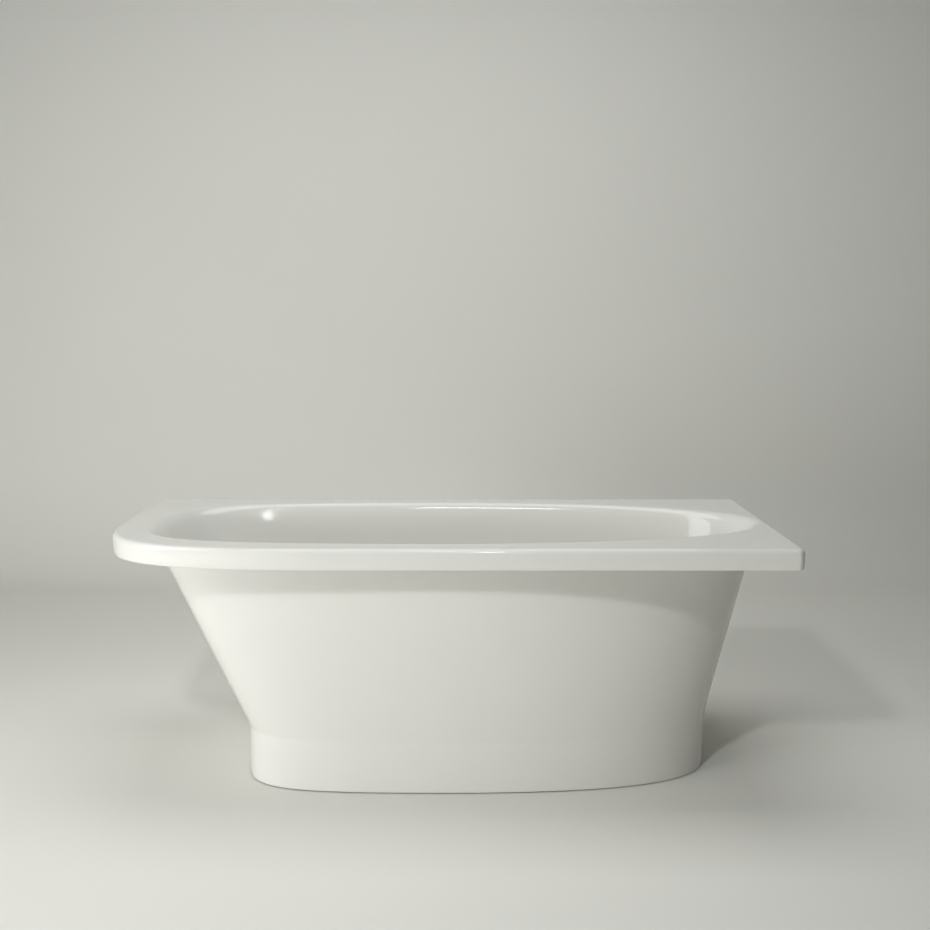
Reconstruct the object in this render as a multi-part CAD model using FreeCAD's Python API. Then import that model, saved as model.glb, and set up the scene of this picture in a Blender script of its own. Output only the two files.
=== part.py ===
import FreeCAD, Part
import math
import os

# Back-to-wall bathtub with an overhanging rim, oval basin and one-piece apron on a plinth.
# X runs along the bath towards the foot end, Y towards the wall, Z up from the floor.
# The origin lies on the floor under the middle of the rim.

# Rim and overall sizes, in millimetres
length = 1700.0
width = 750.0
basinDepth = 430.0
underSpace = 220.0
rimDrop = 51.0
rimTurnIn = 2.5
rimRound = 13.0
rimFlatStart = 17.0
rimCornerRadius = 17.0
cornerRun = 574.0
cornerDepth = 400.0
shellWall = 8.0
rimWall = 6.0

# Basin opening and inside
deckHead = 77.0
deckFoot = 17.0
deckSide = 67.0
lipRollHead = 56.0
lipRollFoot = 62.0
lipRollSide = 31.0
lipDrop = 46.0
headSlope = 28.0
footSlope = 22.0
sideSlope = 9.0
floorBend = 110.0
floorRun = 40.0
floorFall = 7.0

# Shares that shape the quarter curves of each outline: run share, depth share
headShares = (0.864, 0.82)
footShares = (0.591, 0.59)
cornerShares = (0.98, 0.563)
lipFlatShare = 0.12
lipBendShares = (0.45, 0.12)
roundShare = 0.5523
rimRoundShare = 0.42
rimTurnShare = 0.4
footNeckShare = 0.4
plinthHeadShares = (0.894, 0.873)
plinthFootShares = (0.612, 0.762)

# Apron: the loose one-piece panel that closes the front and both ends
apronWall = 5.0
apronLap = 6.0
apronHeadSetback = 115.5
apronFootSetback = 42.0
apronSideSetback = 69.0
plinthHeadRoom = 4.2
plinthFootRoom = 75.6
plinthSideRoom = 33.8
plinthHeight = 134.0
floorGap = 3.0
wallGap = 12.0
apronFlange = 32.0

# Clearances shared by the fits
seatGap = 0.3
runGap = 0.06
looseGap = 0.5
overrun = 4.0

# Support frame
boardThick = 18.0
boardEnd = 5.0
boardOverhang = 35.0
boardCorner = 60.0
railSize = 30.0
railWall = 2.0
railPitch = 190.0
railHeadRoom = 117.0
trapRoom = 85.0
barHeight = 25.0
barWidth = 30.0
barInset = 40.0
barSetback = 47.5

# Levelling feet
studRadius = 6.0
footInset = 40.0
footBaseRadius = 26.0
footBaseHeight = 16.0
footTopRadius = 12.0
footPadThick = 4.0
nutHeight = 10.0
nutFlats = 19.0
lockNutHeight = 6.0
studAbove = 12.0

# Waste, trap and overflow
wasteInset = 425.0
wasteHole = 26.0
flangeRadius = 36.0
flangeThick = 2.5
wasteTube = 25.4
wasteBore = 22.0
plugRadius = 31.5
plugThick = 6.0
pinRadius = 4.0
sealThick = 3.0
bodyRadius = 42.0
bodyHeight = 62.0
bodyWall = 3.0
flangeReach = 12.0
plugSeatRadius = 27.0
spigotLength = 20.0
spigotWall = 1.5
webHalf = 3.0
webHeight = 8.0
trapRadius = 20.0
trapWall = 2.0
trapBend = 48.0
trapLow = 45.0
trapEnd = 190.0
outletSpigot = 60.0
outletCollar = 3.0
outletHeight = 124.0
nutWall = 5.0
trapNutHeight = 22.0
overflowDrop = 100.0
overflowHole = 27.0
plateRadius = 36.0
plateFace = 1.5
plateBand = 8.0
knobRadius = 34.0
knobDepth = 14.0
knobRoom = 3.0
spindleRadius = 5.0
drumRadius = 13.0
drumThick = 5.0
overflowDepth = 18.0
overflowWall = 2.5
hoseRadius = 11.0
hoseBore = 9.5
cableGap = 5.0
socketWall = 2.0
socketLength = 9.0
cableRadius = 2.5

# Rim boards and brackets
rimBoardWidth = 36.0
rimBoardThick = 18.0
rimBoardEdge = 11.0
rimBoardStart = 495.0
rimBoardFinish = 355.0
rimBoardRearInset = 260.0
rimBoardHeadInset = 45.0
clipWidth = 30.0
clipThick = 1.5
clipDepth = 12.0
bracketWidth = 35.0
bracketThick = 3.0
bracketTab = 40.0
padHeight = 31.0
bracketLap = 24.0
padThick = 3.0
railScrewInset = 40.0
screwRadius = 2.5
screwHead = 5.0
screwHeadHeight = 2.5
screwGrip = 14.0

# Derived sizes and places
height = basinDepth + underSpace
openingHead = length / 2 - deckHead
openingFoot = length / 2 - deckFoot
openingHalf = width / 2 - deckSide
apronHead = length / 2 - apronHeadSetback
apronFoot = length / 2 - apronFootSetback
apronHalf = width / 2 - apronSideSetback
wallFall = basinDepth - lipDrop
floorHead = openingHead - lipRollHead - wallFall * math.tan(math.radians(headSlope))
floorFoot = openingFoot - lipRollFoot - wallFall * math.tan(math.radians(footSlope))
floorHalf = openingHalf - lipRollSide - wallFall * math.tan(math.radians(sideSlope))
plinthHead = floorHead + plinthHeadRoom
plinthFoot = floorFoot + plinthFootRoom
plinthHalf = floorHalf + plinthSideRoom
wasteX = length / 2 - wasteInset
rimBottom = height - rimDrop
apronTop = rimBottom + apronLap
underDeck = height - shellWall
basinFloor = height - basinDepth
shellUnder = basinFloor - shellWall
boardUnder = shellUnder - boardThick
railUnder = boardUnder - railSize
barUnder = railUnder - barHeight
railHead = railHeadRoom - plinthHead
railFoot = wasteX - trapRoom
railLength = railFoot - railHead
frameMiddle = (railHead + railFoot) / 2
boardHalf = railPitch / 2 + boardOverhang
boardHead = railHead - boardEnd
boardFoot = railFoot + boardEnd
barSpacing = railLength / 2 - barInset
barLength = 2 * (plinthHalf - apronWall - barSetback)
footPitch = barLength - 2 * footInset
headEnd = -length / 2
footEnd = length / 2
frontEdge = -width / 2
wallEdge = width / 2
fullTurn = 360.0
quarterTurn = 90.0


def vec(x, y, z=0.0):
    return FreeCAD.Vector(x, y, z)


def write(name, shape):
    os.makedirs("parts", exist_ok=True)
    shape.exportStep("parts/" + name + ".step")
    print(name, shape.isValid(), len(shape.Solids), round(shape.Volume))


# Outlines
# An outline is a list of edges, each a list of two or four poles in plan.

def ovalOutline(head, foot, half, headShare, footShare):
    def quarter(endX, side, share):
        runX = endX * share[0]
        return [(0.0, side), (runX, side), (endX, side * share[1]), (endX, 0.0)]
    frontFoot = quarter(foot, -half, footShare)
    rearFoot = quarter(foot, half, footShare)[::-1]
    rearHead = quarter(-head, half, headShare)
    frontHead = quarter(-head, -half, headShare)[::-1]
    return [frontFoot, rearFoot, rearHead, frontHead]


def rimOutline(inset):
    left = headEnd + inset
    right = footEnd - inset
    front = frontEdge + inset
    rear = wallEdge - inset
    small = rimCornerRadius * (1 - inset / (rimRound + rimWall))
    keep = small * (1 - roundShare)
    runEnd = headEnd + cornerRun
    depthEnd = frontEdge + cornerDepth
    bigCorner = [(left, depthEnd),
                 (left, depthEnd - (depthEnd - front) * cornerShares[1]),
                 (runEnd - (runEnd - left) * cornerShares[0], front),
                 (runEnd, front)]
    frontFoot = [(right - small, front), (right - keep, front), (right, front + keep), (right, front + small)]
    rearFoot = [(right, rear - small), (right, rear - keep), (right - keep, rear), (right - small, rear)]
    rearHead = [(left + small, rear), (left + keep, rear), (left, rear - keep), (left, rear - small)]
    return [bigCorner, [(runEnd, front), frontFoot[0]], frontFoot, [frontFoot[3], rearFoot[0]],
            rearFoot, [rearFoot[3], rearHead[0]], rearHead, [rearHead[3], bigCorner[0]]]


def apronOutline(head, foot, half, inset, rear):
    # Open outline: rear flange, straight end, two quarters, straight end, rear flange.
    head -= inset
    foot -= inset
    half -= inset
    quarterHead = [(-head, 0.0), (-head, -half * plinthHeadShares[1]),
                   (-head * plinthHeadShares[0], -half), (0.0, -half)]
    quarterFoot = [(0.0, -half), (foot * plinthFootShares[0], -half),
                   (foot, -half * plinthFootShares[1]), (foot, 0.0)]
    rear -= inset
    lipHead = -head - inset + apronFlange
    lipFoot = foot + inset - apronFlange
    return [[(lipHead, rear), (-head, rear)], [(-head, rear), (-head, 0.0)], quarterHead,
            quarterFoot, [(foot, 0.0), (foot, rear)], [(foot, rear), (lipFoot, rear)]]


# Surfaces

def skin(levels, degree):
    """One surface for each edge of the outlines: their poles carried through all levels."""
    count = len(levels)
    degree = min(degree, count - 1)
    spans = count - degree
    knots = [i / spans for i in range(spans + 1)]
    inner = [1] * (spans - 1)
    faces = []
    for e in range(len(levels[0])):
        rows = [level[e] for level in levels]
        across = len(rows[0]) - 1
        if degree == 1 and across == 1:
            for upper, lower in zip(rows, rows[1:]):
                corners = [upper[0], upper[1], lower[1], lower[0]]
                faces.append(Part.Face(Part.makePolygon(corners + corners[:1])))
            continue
        surface = Part.BSplineSurface()
        surface.buildFromPolesMultsKnots(
            rows, [degree + 1] + inner + [degree + 1], [across + 1, across + 1],
            knots, [0.0, 1.0], False, False, degree, across)
        faces.append(surface.toShape())
    return faces


def lifted(outline, z):
    return [[vec(x, y, z) for x, y in edge] for edge in outline]


def outlineWire(level):
    edges = []
    for poles in level:
        if len(poles) == 2:
            edges.append(Part.makeLine(poles[0], poles[1]))
        else:
            curve = Part.BezierCurve()
            curve.setPoles(poles)
            edges.append(curve.toShape())
    return Part.Wire(edges)


def flatFace(outer, *holes):
    face = Part.Face(outlineWire(outer))
    for hole in holes:
        face = face.cut(Part.Face(outlineWire(hole)))
    return face.Faces[0]


def closedSolid(faces):
    shell = Part.makeShell(faces)
    shell.sewShape()
    solid = Part.Solid(shell.Shells[0] if shell.ShapeType != "Shell" else shell)
    if solid.Volume < 0:
        solid.reverse()
    return solid


# Small solids

def tube(radius, bore, low, high, x=0.0, y=0.0):
    outer = Part.makeCylinder(radius, high - low, vec(x, y, low))
    if bore <= 0:
        return outer
    return outer.cut(Part.makeCylinder(bore, high - low + 2 * overrun, vec(x, y, low - overrun)))


def block(x0, x1, y0, y1, z0, z1):
    return Part.makeBox(x1 - x0, y1 - y0, z1 - z0, vec(x0, y0, z0))


def hexNut(flats, bore, low, high, x, y):
    radius = flats / math.sqrt(3)
    points = [vec(x + radius * math.cos(math.radians(a)), y + radius * math.sin(math.radians(a)), low)
              for a in range(0, 361, 60)]
    solid = Part.Face(Part.makePolygon(points)).extrude(vec(0, 0, high - low))
    return solid.cut(Part.makeCylinder(bore, high - low + 2 * overrun, vec(x, y, low - overrun)))


def turned(profile):
    """A solid of revolution about Z from a closed list of (radius, z) points."""
    points = [vec(r, 0, z) for r, z in profile]
    face = Part.Face(Part.makePolygon(points + points[:1]))
    return face.revolve(vec(0, 0, 0), vec(0, 0, 1), fullTurn)


def wallCurve():
    """The basin's inner face down the middle of the foot end, from the lip to the floor."""
    poles = [level[0][-1] for level in basinLevels(0.0)]
    degree = 3
    spans = len(poles) - degree
    ends = [degree + 1]
    curve = Part.BSplineCurve()
    curve.buildFromPolesMultsKnots(poles, ends + [1] * (spans - 1) + ends,
                                   [i / spans for i in range(spans + 1)], False, degree)
    return curve


def wallFrame():
    """Placement on the inner face of the foot end wall, with its Z out of the wall into the basin."""
    curve = wallCurve()
    high, low = 0.0, 1.0
    while low - high > 1e-9:
        middle = (high + low) / 2
        if curve.value(middle).z > height - overflowDrop:
            high = middle
        else:
            low = middle
    down = curve.tangent(low)[0]
    lean = math.degrees(math.atan2(-down.x, -down.z))
    return FreeCAD.Placement(curve.value(low), FreeCAD.Rotation(vec(0, 1, 0), lean - quarterTurn))


def wallRise(reach):
    """How far the foot end wall comes forward at that reach to each side of the overflow."""
    foot = wallFrame().Base.x
    fallen = overflowDrop - lipDrop
    half = openingHalf - lipRollSide - fallen * math.tan(math.radians(sideSlope))
    quarter = ovalOutline(openingHead, foot, half, headShares, footShares)[0]
    steps = 400
    points = [quarterPoint(quarter, i / steps)[0] for i in range(steps + 1)]
    side = min(points, key=lambda p: abs(-p.y - reach))
    return (foot - side.x) * math.cos(math.radians(footSlope))


def roundedRoute(points, share=0.45):
    """A wire of straight runs joined by tangent arcs as large as the two runs allow."""
    edges = []
    start = points[0]
    for i in range(1, len(points) - 1):
        before = points[i] - points[i - 1]
        after = points[i + 1] - points[i]
        turn = before.getAngle(after)
        cut = share * min(before.Length, after.Length)
        radius = cut / math.tan(turn / 2)
        a = points[i] - before.normalize() * cut
        b = points[i] + after.normalize() * cut
        bisector = (a + b) * 0.5 - points[i]
        reach = math.hypot(radius, cut) - radius
        middle = points[i] + bisector.normalize() * reach
        edges.append(Part.makeLine(start, a))
        edges.append(Part.Arc(a, middle, b).toShape())
        print("route radius", round(radius, 1))
        start = b
    edges.append(Part.makeLine(start, points[-1]))
    return Part.Wire(edges)


def pipe(route, radius, bore=0.0):
    start = route.Edges[0]
    origin = start.valueAt(start.FirstParameter)
    direction = start.tangentAt(start.FirstParameter)
    ring = Part.Wire(Part.makeCircle(radius, origin, direction))
    solid = route.makePipeShell([ring], True, False)
    if bore > 0:
        inner = Part.Wire(Part.makeCircle(bore, origin, direction))
        solid = solid.cut(route.makePipeShell([inner], True, False))
    return solid


# Tub shell

def basinLevels(offset):
    """Control outlines of the basin from the lip to the flat of the floor.

    offset 0 gives the inner face, offset 1 the outer face one wall further out."""
    out = shellWall * offset
    down = shellWall * offset
    slopes = [math.tan(math.radians(a)) for a in (headSlope, footSlope, sideSlope)]
    rolls = [lipRollHead, lipRollFoot, lipRollSide]
    sizes = [openingHead, openingFoot, openingHalf]
    bottom = basinFloor
    lipLow = height - lipDrop

    def wallInset(z):
        return [roll + (lipLow - z) * slope for roll, slope in zip(rolls, slopes)]

    rows = [
        ([0.0 for roll in rolls], height - down, 0.0, 0.0),
        ([roll * lipFlatShare for roll in rolls], height - down, 0.0, 0.0),
        ([roll * lipBendShares[0] for roll in rolls], height - lipDrop * lipBendShares[1] - down, 0.45, 0.0),
        (wallInset(lipLow), lipLow - down * 0.35, 1.0, 0.0),
        (wallInset(height - 0.5 * basinDepth), height - 0.5 * basinDepth, 1.05, 0.3),
        (wallInset(bottom + floorBend), bottom + floorBend, 1.05, 0.7),
        (wallInset(bottom), bottom - down, 0.8, 1.0),
        ([inset + floorRun for inset in wallInset(bottom)], bottom - down, 0.4, 1.0),
        ([inset + 2 * floorRun for inset in wallInset(bottom)], bottom - down, 0.0, 1.0),
        ([inset + 3 * floorRun for inset in wallInset(bottom)], bottom - down, 0.0, 1.0),
    ]
    fall = floorFall / (wasteX - boardHead) * (1 - offset)
    levels = []
    for insets, z, outShare, fallShare in rows:
        head, foot, half = [size - inset + out * outShare for size, inset in zip(sizes, insets)]
        outline = ovalOutline(head, foot, half, headShares, footShares)
        levels.append([[vec(x, y, z + (wasteX - x) * fall * fallShare) for x, y in edge]
                       for edge in outline])
    return levels


def rimBands():
    """Outer face of the rim in three bands: turned-in foot, flat middle and round top edge."""
    low = rimBottom + rimFlatStart
    soft = rimRound * rimRoundShare
    foot = [(rimBottom, rimTurnIn), (rimBottom + rimFlatStart * rimTurnShare, 0.0), (low, 0.0)]
    flat = [(low, 0.0), (height - rimRound, 0.0)]
    top = [(height - rimRound, 0.0), (height - soft, 0.0), (height, soft), (height, rimRound)]
    return [[lifted(rimOutline(inset), z) for z, inset in rows] for rows in (foot, flat, top)]


def rimInnerLevels():
    rows = [(rimBottom, rimTurnIn + rimWall), (underDeck - rimWall, rimWall + rimTurnIn / 2),
            (underDeck, rimRound)]
    return [lifted(rimOutline(inset), z) for z, inset in rows]


def tubShell():
    inner = basinLevels(0.0)
    outer = basinLevels(1.0)
    foot, flat, top = rimBands()
    rimInner = rimInnerLevels()
    faces = skin(inner, 3) + skin(outer, 3) + skin(rimInner, 1)
    faces += skin(foot, 2) + skin(flat, 1) + skin(top, 3)
    faces.append(flatFace(top[-1], inner[0]))
    faces.append(flatFace(rimInner[-1], outer[0]))
    faces.append(flatFace(foot[0], rimInner[0]))
    faces.append(flatFace(inner[-1]))
    faces.append(flatFace(outer[-1]))
    shell = closedSolid(faces)
    waste = tube(wasteHole, 0, shellUnder - overrun, basinFloor + overrun, wasteX)
    overflow = tube(overflowHole, 0, -shellWall * 2, shellWall)
    overflow.Placement = wallFrame()
    return shell.cut(waste).cut(overflow)


# Apron

def apronLevels(inset):
    rear = wallEdge - wallGap
    slopeHead = (apronHead - plinthHead) / (rimBottom - plinthHeight)
    slopeFoot = (apronFoot - plinthFoot) / (rimBottom - plinthHeight)
    slopeHalf = (apronHalf - plinthHalf) / (rimBottom - plinthHeight)
    rise = apronTop - rimBottom
    rows = [(apronTop, apronHead + slopeHead * rise, apronFoot + slopeFoot * rise,
             apronHalf + slopeHalf * rise),
            (plinthHeight, plinthHead, plinthFoot, plinthHalf),
            (floorGap, plinthHead, plinthFoot, plinthHalf)]
    return [lifted(apronOutline(head, foot, half, inset, rear), z) for z, head, foot, half in rows]


def stripFace(outer, inner):
    """Flat face between two open outlines of one height."""
    back = [edge[::-1] for edge in inner[::-1]]
    loop = outer + [[outer[-1][-1], back[0][0]]] + back + [[back[-1][-1], outer[0][0]]]
    return Part.Face(outlineWire(loop))


def apronPanel():
    outer = apronLevels(0.0)
    inner = apronLevels(apronWall)
    faces = skin(outer, 1) + skin(inner, 1)
    faces.append(stripFace(outer[0], inner[0]))
    faces.append(stripFace(outer[-1], inner[-1]))
    for end in (0, -1):
        for upper, lower in ((0, 1), (1, 2)):
            corners = [outer[upper][end][end], inner[upper][end][end],
                       inner[lower][end][end], outer[lower][end][end]]
            faces.append(Part.Face(Part.makePolygon(corners + corners[:1])))
    return closedSolid(faces)


def quarterPoint(poles, t):
    """Point and direction on a quarter curve given by four plan poles."""
    curve = Part.BezierCurve()
    curve.setPoles([vec(x, y) for x, y in poles])
    return curve.value(t), FreeCAD.Vector(curve.tangent(t)[0])


# Rim boards, clips and brackets

def rimBoard(x0, x1, y0, y1):
    return block(x0, x1, y0, y1, underDeck - rimBoardThick, underDeck)


def rimBoards():
    low = rimWall + rimBoardEdge
    front = rimBoard(headEnd + rimBoardStart, footEnd - rimBoardFinish,
                     frontEdge + low, frontEdge + low + rimBoardWidth)
    under = underDeck - rimBoardThick
    for side, t in clipShares:
        x, y = clipScrewPlace(side, t)
        front = front.cut(screwHole(x, y, under - overrun, under + screwGrip))
    write("rim_board_front", front)
    write("rim_board_rear", rimBoard(headEnd + rimBoardRearInset, footEnd - rimBoardRearInset,
                                     wallEdge - low - rimBoardWidth, wallEdge - low))
    write("rim_board_head", rimBoard(headEnd + low, headEnd + low + rimBoardWidth,
                                     0.0, wallEdge - rimBoardHeadInset))


def topEdgePoint(side, t):
    poles = apronLevels(0.0)[0][2 if side == "head" else 3]
    return quarterPoint([(p.x, p.y) for p in poles], t)


def apronClip(side, t):
    """Channel clip: screwed under the front rim board, it traps the apron's top edge."""
    point, direction = topEdgePoint(side, t)
    lean = (apronHalf - plinthHalf) / (rimBottom - plinthHeight)
    innerTab = apronWall + seatGap + clipDepth * lean
    under = underDeck - rimBoardThick
    reach = point.y - (frontEdge + rimWall + rimBoardEdge + rimBoardWidth * 0.3)
    foot = apronTop - clipDepth
    top = block(-clipWidth / 2, clipWidth / 2, -reach, innerTab + clipThick, under - clipThick, under)
    outer = block(-clipWidth / 2, clipWidth / 2, -seatGap - clipThick, -seatGap, foot, under)
    inner = block(-clipWidth / 2, clipWidth / 2, innerTab, innerTab + clipThick, foot, under)
    clip = top.fuse(outer).fuse(inner).removeSplitter()
    turn = math.degrees(math.atan2(direction.y, direction.x))
    clip.Placement = FreeCAD.Placement(vec(point.x, point.y), FreeCAD.Rotation(vec(0, 0, 1), turn))
    x, y = clipScrewPlace(side, t)
    return clip.cut(screwHole(x, y, under - clipThick - overrun, under + overrun))


def plinthPoint(x):
    """Point and direction on the apron's inside at a bracket's lower end, and the points of that line."""
    top, crease = apronLevels(apronWall)[:2]
    rise = max(0.0, barUnder - bracketTab - plinthHeight) / (apronTop - plinthHeight)
    side = 2 if x < 0 else 3
    poles = [a + (b - a) * rise for a, b in zip(crease[side], top[side])]
    poles = [(p.x, p.y) for p in poles]
    steps = 400
    points = [quarterPoint(poles, i / steps) for i in range(steps + 1)]
    return min(points, key=lambda p: abs(p[0].x - x)), [p[0] for p in points]


def plinthBracket(x, pad):
    """Angle under a cross bar's front end, or the pad between its tab and the plinth."""
    (point, direction), line = plinthPoint(x)
    turn = math.degrees(math.atan2(direction.y, direction.x))
    inward = vec(-direction.y, direction.x)
    beside = [(p - point).dot(inward) for p in line if abs((p - point).dot(direction)) <= bracketWidth / 2]
    padStart = looseGap + max(beside)
    run = -barLength / 2 - point.y + bracketLap
    low = barUnder - bracketTab
    tabBack = padStart + padThick
    if pad:
        piece = block(-bracketWidth / 2, bracketWidth / 2, padStart, tabBack, low, low + padHeight)
    else:
        piece = block(-bracketWidth / 2, bracketWidth / 2, tabBack, run, barUnder - bracketThick, barUnder)
        piece = piece.fuse(block(-bracketWidth / 2, bracketWidth / 2, tabBack, tabBack + bracketThick,
                                 low, barUnder)).removeSplitter()
    piece.Placement = FreeCAD.Placement(vec(point.x, point.y), FreeCAD.Rotation(vec(0, 0, 1), turn))
    if pad:
        return piece
    return piece.cut(screwHole(x, bracketScrewY, barUnder - bracketThick - overrun, barUnder + overrun))


# Fasteners: a pan head under a plate and its shank upwards, both about Z

def screwUp(x, y, z, grip):
    head = Part.makeCylinder(screwHead, screwHeadHeight, vec(x, y, z - screwHeadHeight))
    return head.fuse(Part.makeCylinder(screwRadius, grip, vec(x, y, z))).removeSplitter()


def screwHole(x, y, low, high):
    return Part.makeCylinder(screwRadius + runGap, high - low, vec(x, y, low))


# Places that several pieces share

barPlaces = [frameMiddle + k * barSpacing for k in (-1, 0, 1)]
railPlaces = [-railPitch / 2, railPitch / 2]
footPlaces = [(x, side * footPitch / 2) for x in barPlaces for side in (-1, 1)]
clipShares = [("head", 0.76), ("head", 0.97), ("foot", 0.16)]
bracketScrewY = -barLength / 2 + bracketLap / 2


def clipScrewPlace(side, t):
    point = topEdgePoint(side, t)[0]
    return point.x, frontEdge + rimWall + rimBoardEdge + rimBoardWidth * 0.55


def railScrewPlaces():
    ends = [railHead + railScrewInset, railFoot - railScrewInset]
    middles = [(barPlaces[0] + barPlaces[1]) / 2, (barPlaces[1] + barPlaces[2]) / 2]
    return [(x, y) for y in railPlaces for x in ends + middles]


# Frame

def boxRail(x0, x1, y, z0, z1):
    half = railSize / 2
    outer = block(x0, x1, y - half, y + half, z0, z1)
    return outer.cut(block(x0 - overrun, x1 + overrun, y - half + railWall, y + half - railWall,
                           z0 + railWall, z1 - railWall))


def frameRail(y):
    rail = boxRail(railHead, railFoot, y, railUnder, boardUnder)
    for x, place in railScrewPlaces():
        if place == y:
            rail = rail.cut(screwHole(x, y, railUnder - overrun, boardUnder + overrun))
            rail = rail.cut(tube(screwHead + looseGap, 0, railUnder - overrun,
                                 railUnder + railWall + overrun, x, y))
    return rail


def crossBar(x):
    half = barWidth / 2
    bar = block(x - half, x + half, -barLength / 2, barLength / 2, barUnder, railUnder)
    bar = bar.cut(block(x - half + railWall, x + half - railWall, -barLength / 2 - overrun,
                        barLength / 2 + overrun, barUnder + railWall, railUnder - railWall))
    for side in (-1, 1):
        bar = bar.cut(tube(studRadius + looseGap, 0, barUnder - overrun, railUnder + overrun,
                           x, side * footPitch / 2))
    return bar.cut(screwHole(x, bracketScrewY, barUnder - overrun, barUnder + railWall + overrun))


def baseBoard():
    board = block(boardHead, boardFoot, -boardHalf, boardHalf, boardUnder, shellUnder)
    upright = [edge for edge in board.Edges if abs(edge.tangentAt(edge.FirstParameter).z) > 0.9]
    board = board.makeFillet(boardCorner, upright)
    for x, y in railScrewPlaces():
        board = board.cut(screwHole(x, y, boardUnder - overrun, boardUnder + screwGrip + looseGap))
    return board


def frame():
    write("base_board", baseBoard())
    for name, y in zip(("front", "rear"), railPlaces):
        write("frame_rail_" + name, frameRail(y))
    for name, x in zip(("head", "middle", "foot"), barPlaces):
        write("cross_bar_" + name, crossBar(x))
    screws = [screwUp(x, y, boardUnder - railWall, screwGrip + railWall) for x, y in railScrewPlaces()]
    write("rail_screws", Part.makeCompound(screws))


# Levelling feet

def footParts(x, y):
    baseTop = footPadThick + footBaseHeight
    neck = baseTop - footBaseHeight * footNeckShare
    pad = tube(footBaseRadius, 0, 0.0, footPadThick, x, y)
    rim = footBaseRadius - footPadThick / 2
    base = turned([(0, footPadThick), (footBaseRadius, footPadThick), (footBaseRadius, footPadThick * 1.5),
                   (rim, footPadThick * 2), (footTopRadius, baseTop), (0, baseTop)])
    base = base.cut(tube(studRadius, 0, neck, baseTop + overrun))
    base.translate(vec(x, y))
    stud = tube(studRadius, 0, neck, railUnder + studAbove, x, y)
    return stud, base, pad


def feet():
    for i, (x, y) in enumerate(footPlaces):
        stud, base, pad = footParts(x, y)
        number = str(i + 1)
        write("foot_stud_" + number, stud)
        write("foot_base_" + number, base)
        write("foot_pad_" + number, pad)
    bore = studRadius + runGap
    weldNuts = [hexNut(nutFlats, bore, barUnder - nutHeight, barUnder, x, y) for x, y in footPlaces]
    low = barUnder - nutHeight - lockNutHeight
    lockNuts = [hexNut(nutFlats, bore, low, low + lockNutHeight, x, y) for x, y in footPlaces]
    write("foot_weld_nuts", Part.makeCompound(weldNuts))
    write("foot_lock_nuts", Part.makeCompound(lockNuts))


# Waste and trap

flangeTop = basinFloor + 2 * seatGap + flangeThick
sealUnder = shellUnder - sealThick
bodyUnder = sealUnder - bodyHeight
trapTop = bodyUnder + spigotLength


def wasteFlange():
    return turned([(wasteBore, sealUnder - flangeReach), (wasteTube, sealUnder - flangeReach),
                   (wasteTube, basinFloor + 2 * seatGap), (flangeRadius, basinFloor + 2 * seatGap),
                   (flangeRadius - flangeThick, flangeTop), (plugSeatRadius, flangeTop),
                   (wasteBore, flangeTop - flangeThick)]).translated(vec(wasteX, 0))


def wasteSeal():
    return tube(bodyRadius, wasteHole + looseGap, sealUnder, shellUnder, wasteX)


def wasteBody():
    inner = wasteTube + looseGap
    outer = inner + bodyWall
    floor = trapTop + bodyWall
    throat = trapRadius - trapWall
    body = turned([(inner, sealUnder), (bodyRadius, sealUnder), (bodyRadius, sealUnder - bodyWall),
                   (outer, sealUnder - bodyWall), (outer, trapTop), (trapRadius, trapTop),
                   (trapRadius, bodyUnder), (throat, bodyUnder), (throat, floor), (inner, floor)])
    middle = (sealUnder - flangeReach + floor) / 2
    inlet = hoseSpigot(outer - bodyWall / 2, outer + spigotLength)
    inlet.translate(vec(0, 0, middle))
    web = block(-inner - bodyWall / 2, inner + bodyWall / 2, -webHalf, webHalf, floor + webHalf,
                floor + webHalf + webHeight)
    boss = tube(pinRadius + bodyWall, 0, floor + webHalf, floor + webHalf + webHeight)
    guide = tube(pinRadius + runGap, 0, floor - overrun, sealUnder + overrun)
    bore = Part.makeCylinder(hoseBore - spigotWall - runGap, spigotLength + bodyWall + overrun,
                             vec(outer - bodyWall - overrun / 2, 0, middle), vec(1, 0, 0))
    web = web.fuse(boss).cut(guide)
    offset = hoseRadius + cableGap
    socket = Part.makeCylinder(cableRadius + socketWall, bodyWall + socketLength,
                               vec(outer - bodyWall, offset, middle), vec(1, 0, 0))
    socket = socket.cut(tube(inner + bodyWall / 2, 0, floor, sealUnder))
    cableHole = Part.makeCylinder(cableRadius + runGap, socketLength,
                                  vec(outer, offset, middle), vec(1, 0, 0))
    body = body.fuse(inlet).cut(bore).fuse(web).fuse(socket).cut(cableHole).removeSplitter()
    body.translate(vec(wasteX, 0))
    return body, middle, wasteX + outer


def hoseSpigot(start, end):
    return Part.makeCylinder(hoseBore - runGap, end - start, vec(start, 0, 0), vec(1, 0, 0))


def plug():
    low = flangeTop + seatGap
    dome = [(0, low), (plugSeatRadius - sealThick, low), (plugSeatRadius - sealThick, low + sealThick / 2),
            (plugRadius, low + sealThick / 2), (plugRadius, low + plugThick * 0.6),
            (plugRadius * 0.9, low + plugThick * 0.9), (plugRadius * 0.55, low + plugThick * 1.15),
            (0, low + plugThick * 1.25)]
    return turned(dome).translated(vec(wasteX, 0))


def plugSeal():
    low = flangeTop + seatGap
    return tube(plugSeatRadius, plugSeatRadius - sealThick, low, low + sealThick / 2, wasteX)


def liftPin():
    floor = trapTop + bodyWall
    pin = tube(pinRadius, 0, floor, flangeTop + seatGap)
    return pin.translated(vec(wasteX, 0))


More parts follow.
